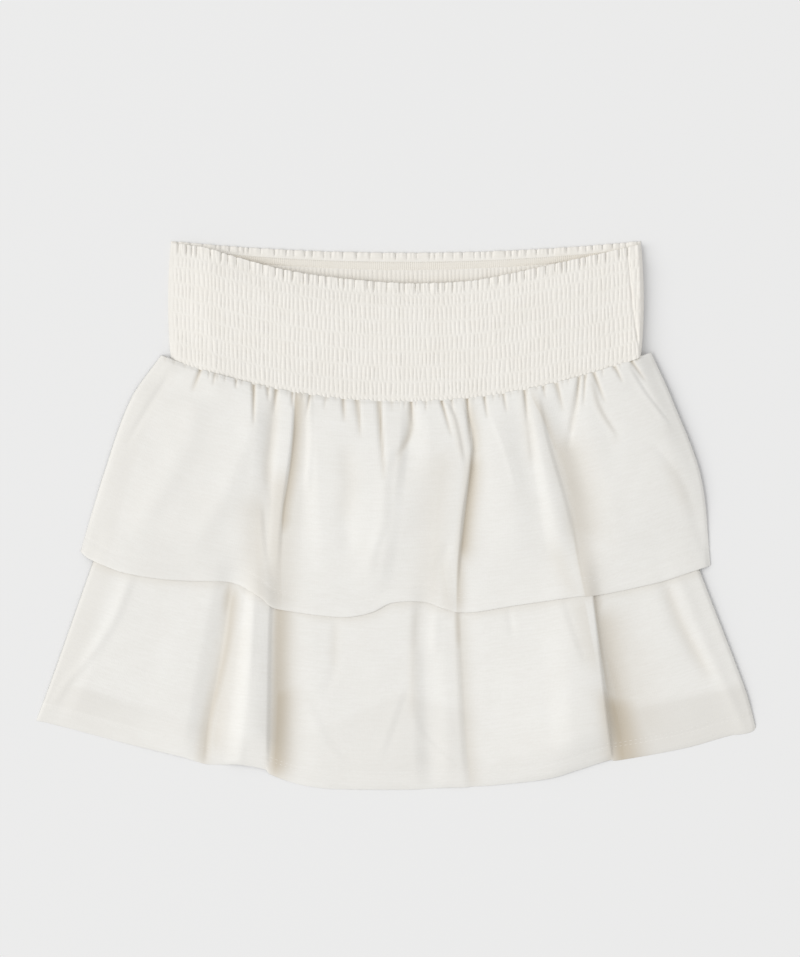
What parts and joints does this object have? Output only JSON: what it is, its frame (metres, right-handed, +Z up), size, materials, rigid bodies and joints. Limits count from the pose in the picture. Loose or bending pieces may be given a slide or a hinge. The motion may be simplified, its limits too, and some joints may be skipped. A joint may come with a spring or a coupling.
{
  "type": "skort",
  "caption": "Child's pull-on skort lying flat: a smocked elastic waistband with a frilled edge, two gathered jersey tiers and plain built-in shorts.",
  "frame": {"origin": "on the surface that the garment lies on, under the middle of its bounding box", "axes": "+X across the garment, to the right as seen from above; +Y towards the waist; +Z up, out of the surface and out of the garment's front"},
  "size_m": [0.3991, 0.3032, 0.0166],
  "materials": {
    "tier_jersey": "matte off-white slub cotton jersey",
    "smocked_waist": "matte off-white jersey, shirred on rows of elastic thread",
    "waist_tape": "matte, finely ribbed elastic tape",
    "shorts_jersey": "matte off-white fine jersey"
  },
  "bodies": {
    "root": {"waistband_front": "smocked_waist", "waistband_back": "smocked_waist", "waist_tape_back": "waist_tape", "upper_tier_front": "tier_jersey", "upper_tier_back": "tier_jersey", "lower_tier_front": "tier_jersey", "lower_tier_back": "tier_jersey", "shorts_front_left": "shorts_jersey", "shorts_front_right": "shorts_jersey", "shorts_back_left": "shorts_jersey", "shorts_back_right": "shorts_jersey"}
  },
  "joints": []
}
